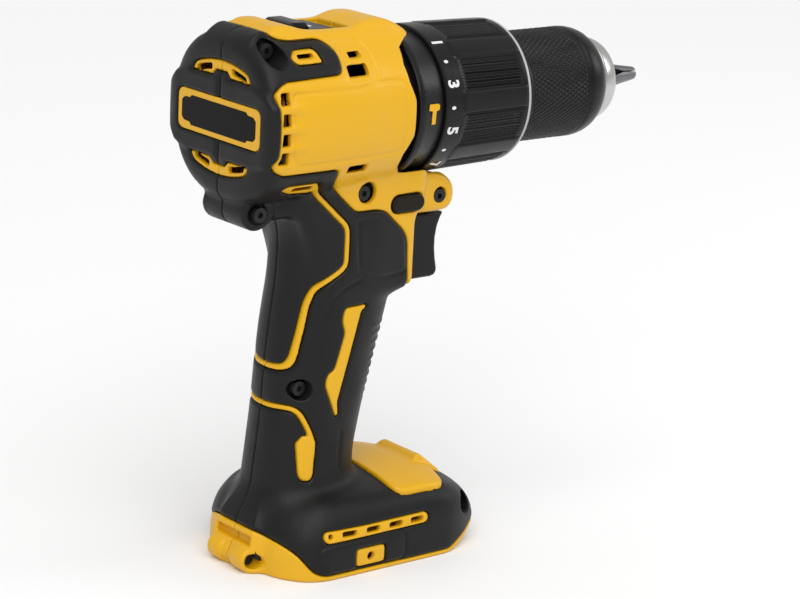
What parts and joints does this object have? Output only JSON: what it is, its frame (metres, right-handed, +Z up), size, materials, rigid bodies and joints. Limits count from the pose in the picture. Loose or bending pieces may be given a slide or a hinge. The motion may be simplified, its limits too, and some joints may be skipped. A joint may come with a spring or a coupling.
{
  "type": "cordless drill",
  "caption": "Compact pistol-grip cordless hammer drill without a battery: keyless chuck, torque and mode collars, sprung trigger and a slide-in battery foot.",
  "frame": {"origin": "middle of the bounding box on the plane that the foot stands on", "axes": "+X the way the bit points, +Y to the user's left, +Z up"},
  "size_m": [0.1964, 0.066, 0.2],
  "materials": {
    "yellow_plastic": "satin moulded plastic",
    "soft_grip": "soft-touch moulding, matt",
    "black_plastic": "satin glass-filled plastic",
    "grey_plastic": "matt",
    "bar_plastic": "satin",
    "steel": "machined",
    "dark_steel": "blackened",
    "silver_metal": "turned and polished",
    "copper": "enamelled wire and plated strip",
    "brass_insert": "turned",
    "board": "circuit board",
    "lens": "clear moulded lens"
  },
  "bodies": {
    "body": {"housing_right": "yellow_plastic", "housing_left": "yellow_plastic", "rear_badge": "yellow_plastic", "foot_cover": "yellow_plastic", "overmould_right": "soft_grip", "overmould_left": "soft_grip", "terminal_block": "black_plastic", "gear_case": "grey_plastic", "switch_body": "grey_plastic", "control_module": "grey_plastic", "stator_core": "steel", "rear_bearing": "steel", "front_bearing": "steel", "ring_gear_1": "steel", "spindle_bearing": "steel", "clutch_plate": "steel", "clutch_spring": "steel", "trigger_spring": "steel", "screw_rear_upper": "dark_steel", "screw_rear_lower": "dark_steel", "screw_throat": "dark_steel", "screw_front_block": "dark_steel", "screw_handle": "dark_steel", "screw_foot_front": "dark_steel", "screw_foot_rear": "dark_steel", "stator_windings": "copper", "contact_blade_1": "copper", "contact_blade_2": "copper", "contact_blade_3": "copper", "belt_nut_right": "brass_insert", "belt_nut_left": "brass_insert", "motor_sensor_board": "board", "led_board": "board", "led_lens": "lens"},
    "rotor": {"rotor_core": "dark_steel", "motor_shaft": "steel", "cooling_fan": "black_plastic"},
    "carrier": {"carrier_1": "steel"},
    "spindle": {"output_carrier": "steel", "output_spindle": "steel", "chuck_body": "dark_steel", "chuck_nose": "silver_metal", "chuck_screw": "dark_steel"},
    "sleeve": {"chuck_sleeve": "black_plastic", "jaw_nut": "steel"},
    "selector": {"speed_selector": "black_plastic", "ring_gear_2": "steel"},
    "mode_collar": {"mode_collar": "black_plastic"},
    "torque_collar": {"torque_collar": "black_plastic"},
    "trigger": {"trigger": "black_plastic"},
    "reversing_bar": {"reversing_bar": "bar_plastic"},
    "planet_1_1": {"planet_1_1": "steel"},
    "planet_1_2": {"planet_1_2": "steel"},
    "planet_1_3": {"planet_1_3": "steel"},
    "planet_2_1": {"planet_2_1": "steel"},
    "planet_2_2": {"planet_2_2": "steel"},
    "planet_2_3": {"planet_2_3": "steel"},
    "jaw_1": {"jaw_1": "dark_steel"},
    "jaw_2": {"jaw_2": "dark_steel"},
    "jaw_3": {"jaw_3": "dark_steel"}
  },
  "joints": [
    {"name": "chuck_spin", "type": "hinge", "parent": "body", "child": "spindle", "pos_m": [0.0088, 0, 0.167], "axis": [1, 0, 0], "continuous": true},
    {"name": "carrier_spin", "type": "hinge", "parent": "body", "child": "carrier", "pos_m": [-0.0342, 0, 0.167], "axis": [1, 0, 0], "continuous": true},
    {"name": "rotor_spin", "type": "hinge", "parent": "body", "child": "rotor", "pos_m": [-0.0702, 0, 0.167], "axis": [1, 0, 0], "continuous": true},
    {"name": "planet_1_1_spin", "type": "hinge", "parent": "carrier", "child": "planet_1_1", "pos_m": [-0.0397, 0, 0.1784], "axis": [1, 0, 0], "continuous": true},
    {"name": "planet_1_2_spin", "type": "hinge", "parent": "carrier", "child": "planet_1_2", "pos_m": [-0.0397, -0.00987, 0.1613], "axis": [1, 0, 0], "continuous": true},
    {"name": "planet_1_3_spin", "type": "hinge", "parent": "carrier", "child": "planet_1_3", "pos_m": [-0.0397, 0.00987, 0.1613], "axis": [1, 0, 0], "continuous": true},
    {"name": "planet_2_1_spin", "type": "hinge", "parent": "spindle", "child": "planet_2_1", "pos_m": [-0.0281, 0, 0.1784], "axis": [1, 0, 0], "continuous": true},
    {"name": "planet_2_2_spin", "type": "hinge", "parent": "spindle", "child": "planet_2_2", "pos_m": [-0.0281, -0.00987, 0.1613], "axis": [1, 0, 0], "continuous": true},
    {"name": "planet_2_3_spin", "type": "hinge", "parent": "spindle", "child": "planet_2_3", "pos_m": [-0.0281, 0.00987, 0.1613], "axis": [1, 0, 0], "continuous": true},
    {"name": "chuck_tighten", "type": "hinge", "parent": "spindle", "child": "sleeve", "pos_m": [0.0498, 0, 0.167], "axis": [1, 0, 0], "range_deg": [0, 1440]},
    {"name": "jaw_1_slide", "type": "slide", "parent": "spindle", "child": "jaw_1", "axis": [-0.9563, 0, 0.2924], "range_m": [0, 0.0221]},
    {"name": "jaw_2_slide", "type": "slide", "parent": "spindle", "child": "jaw_2", "axis": [-0.9563, -0.2532, -0.1462], "range_m": [0, 0.0221]},
    {"name": "jaw_3_slide", "type": "slide", "parent": "spindle", "child": "jaw_3", "axis": [-0.9563, 0.2532, -0.1462], "range_m": [0, 0.0221]},
    {"name": "trigger_press", "type": "slide", "parent": "body", "child": "trigger", "axis": [-1, 0, 0], "range_m": [0, 0.006], "stiffness_N_per_m": 900, "springref_m": -0.003, "deforming": ["trigger_spring"]},
    {"name": "direction_bar", "type": "slide", "parent": "body", "child": "reversing_bar", "axis": [0, 1, 0], "range_m": [-0.0035, 0.0035]},
    {"name": "speed_select", "type": "slide", "parent": "body", "child": "selector", "axis": [1, 0, 0], "range_m": [0, 0.006]},
    {"name": "mode_turn", "type": "hinge", "parent": "body", "child": "mode_collar", "pos_m": [-0.0237, 0, 0.167], "axis": [1, 0, 0], "range_deg": [0, 80]},
    {"name": "torque_turn", "type": "hinge", "parent": "body", "child": "torque_collar", "pos_m": [0.0038, 0, 0.167], "axis": [1, 0, 0], "range_deg": [-252, 0]}
  ],
  "couplings": [
    {"joint": "carrier_spin", "follows": "chuck_spin", "ratio": 4},
    {"joint": "rotor_spin", "follows": "chuck_spin", "ratio": 16},
    {"joint": "planet_1_1_spin", "follows": "chuck_spin", "ratio": -12},
    {"joint": "planet_1_2_spin", "follows": "chuck_spin", "ratio": -12},
    {"joint": "planet_1_3_spin", "follows": "chuck_spin", "ratio": -12},
    {"joint": "planet_2_1_spin", "follows": "chuck_spin", "ratio": -3},
    {"joint": "planet_2_2_spin", "follows": "chuck_spin", "ratio": -3},
    {"joint": "planet_2_3_spin", "follows": "chuck_spin", "ratio": -3},
    {"joint": "jaw_2_slide", "follows": "jaw_1_slide", "ratio": 1},
    {"joint": "jaw_3_slide", "follows": "jaw_1_slide", "ratio": 1},
    {"joint": "chuck_tighten", "follows": "jaw_1_slide", "rad_per_m": 1136.4}
  ]
}
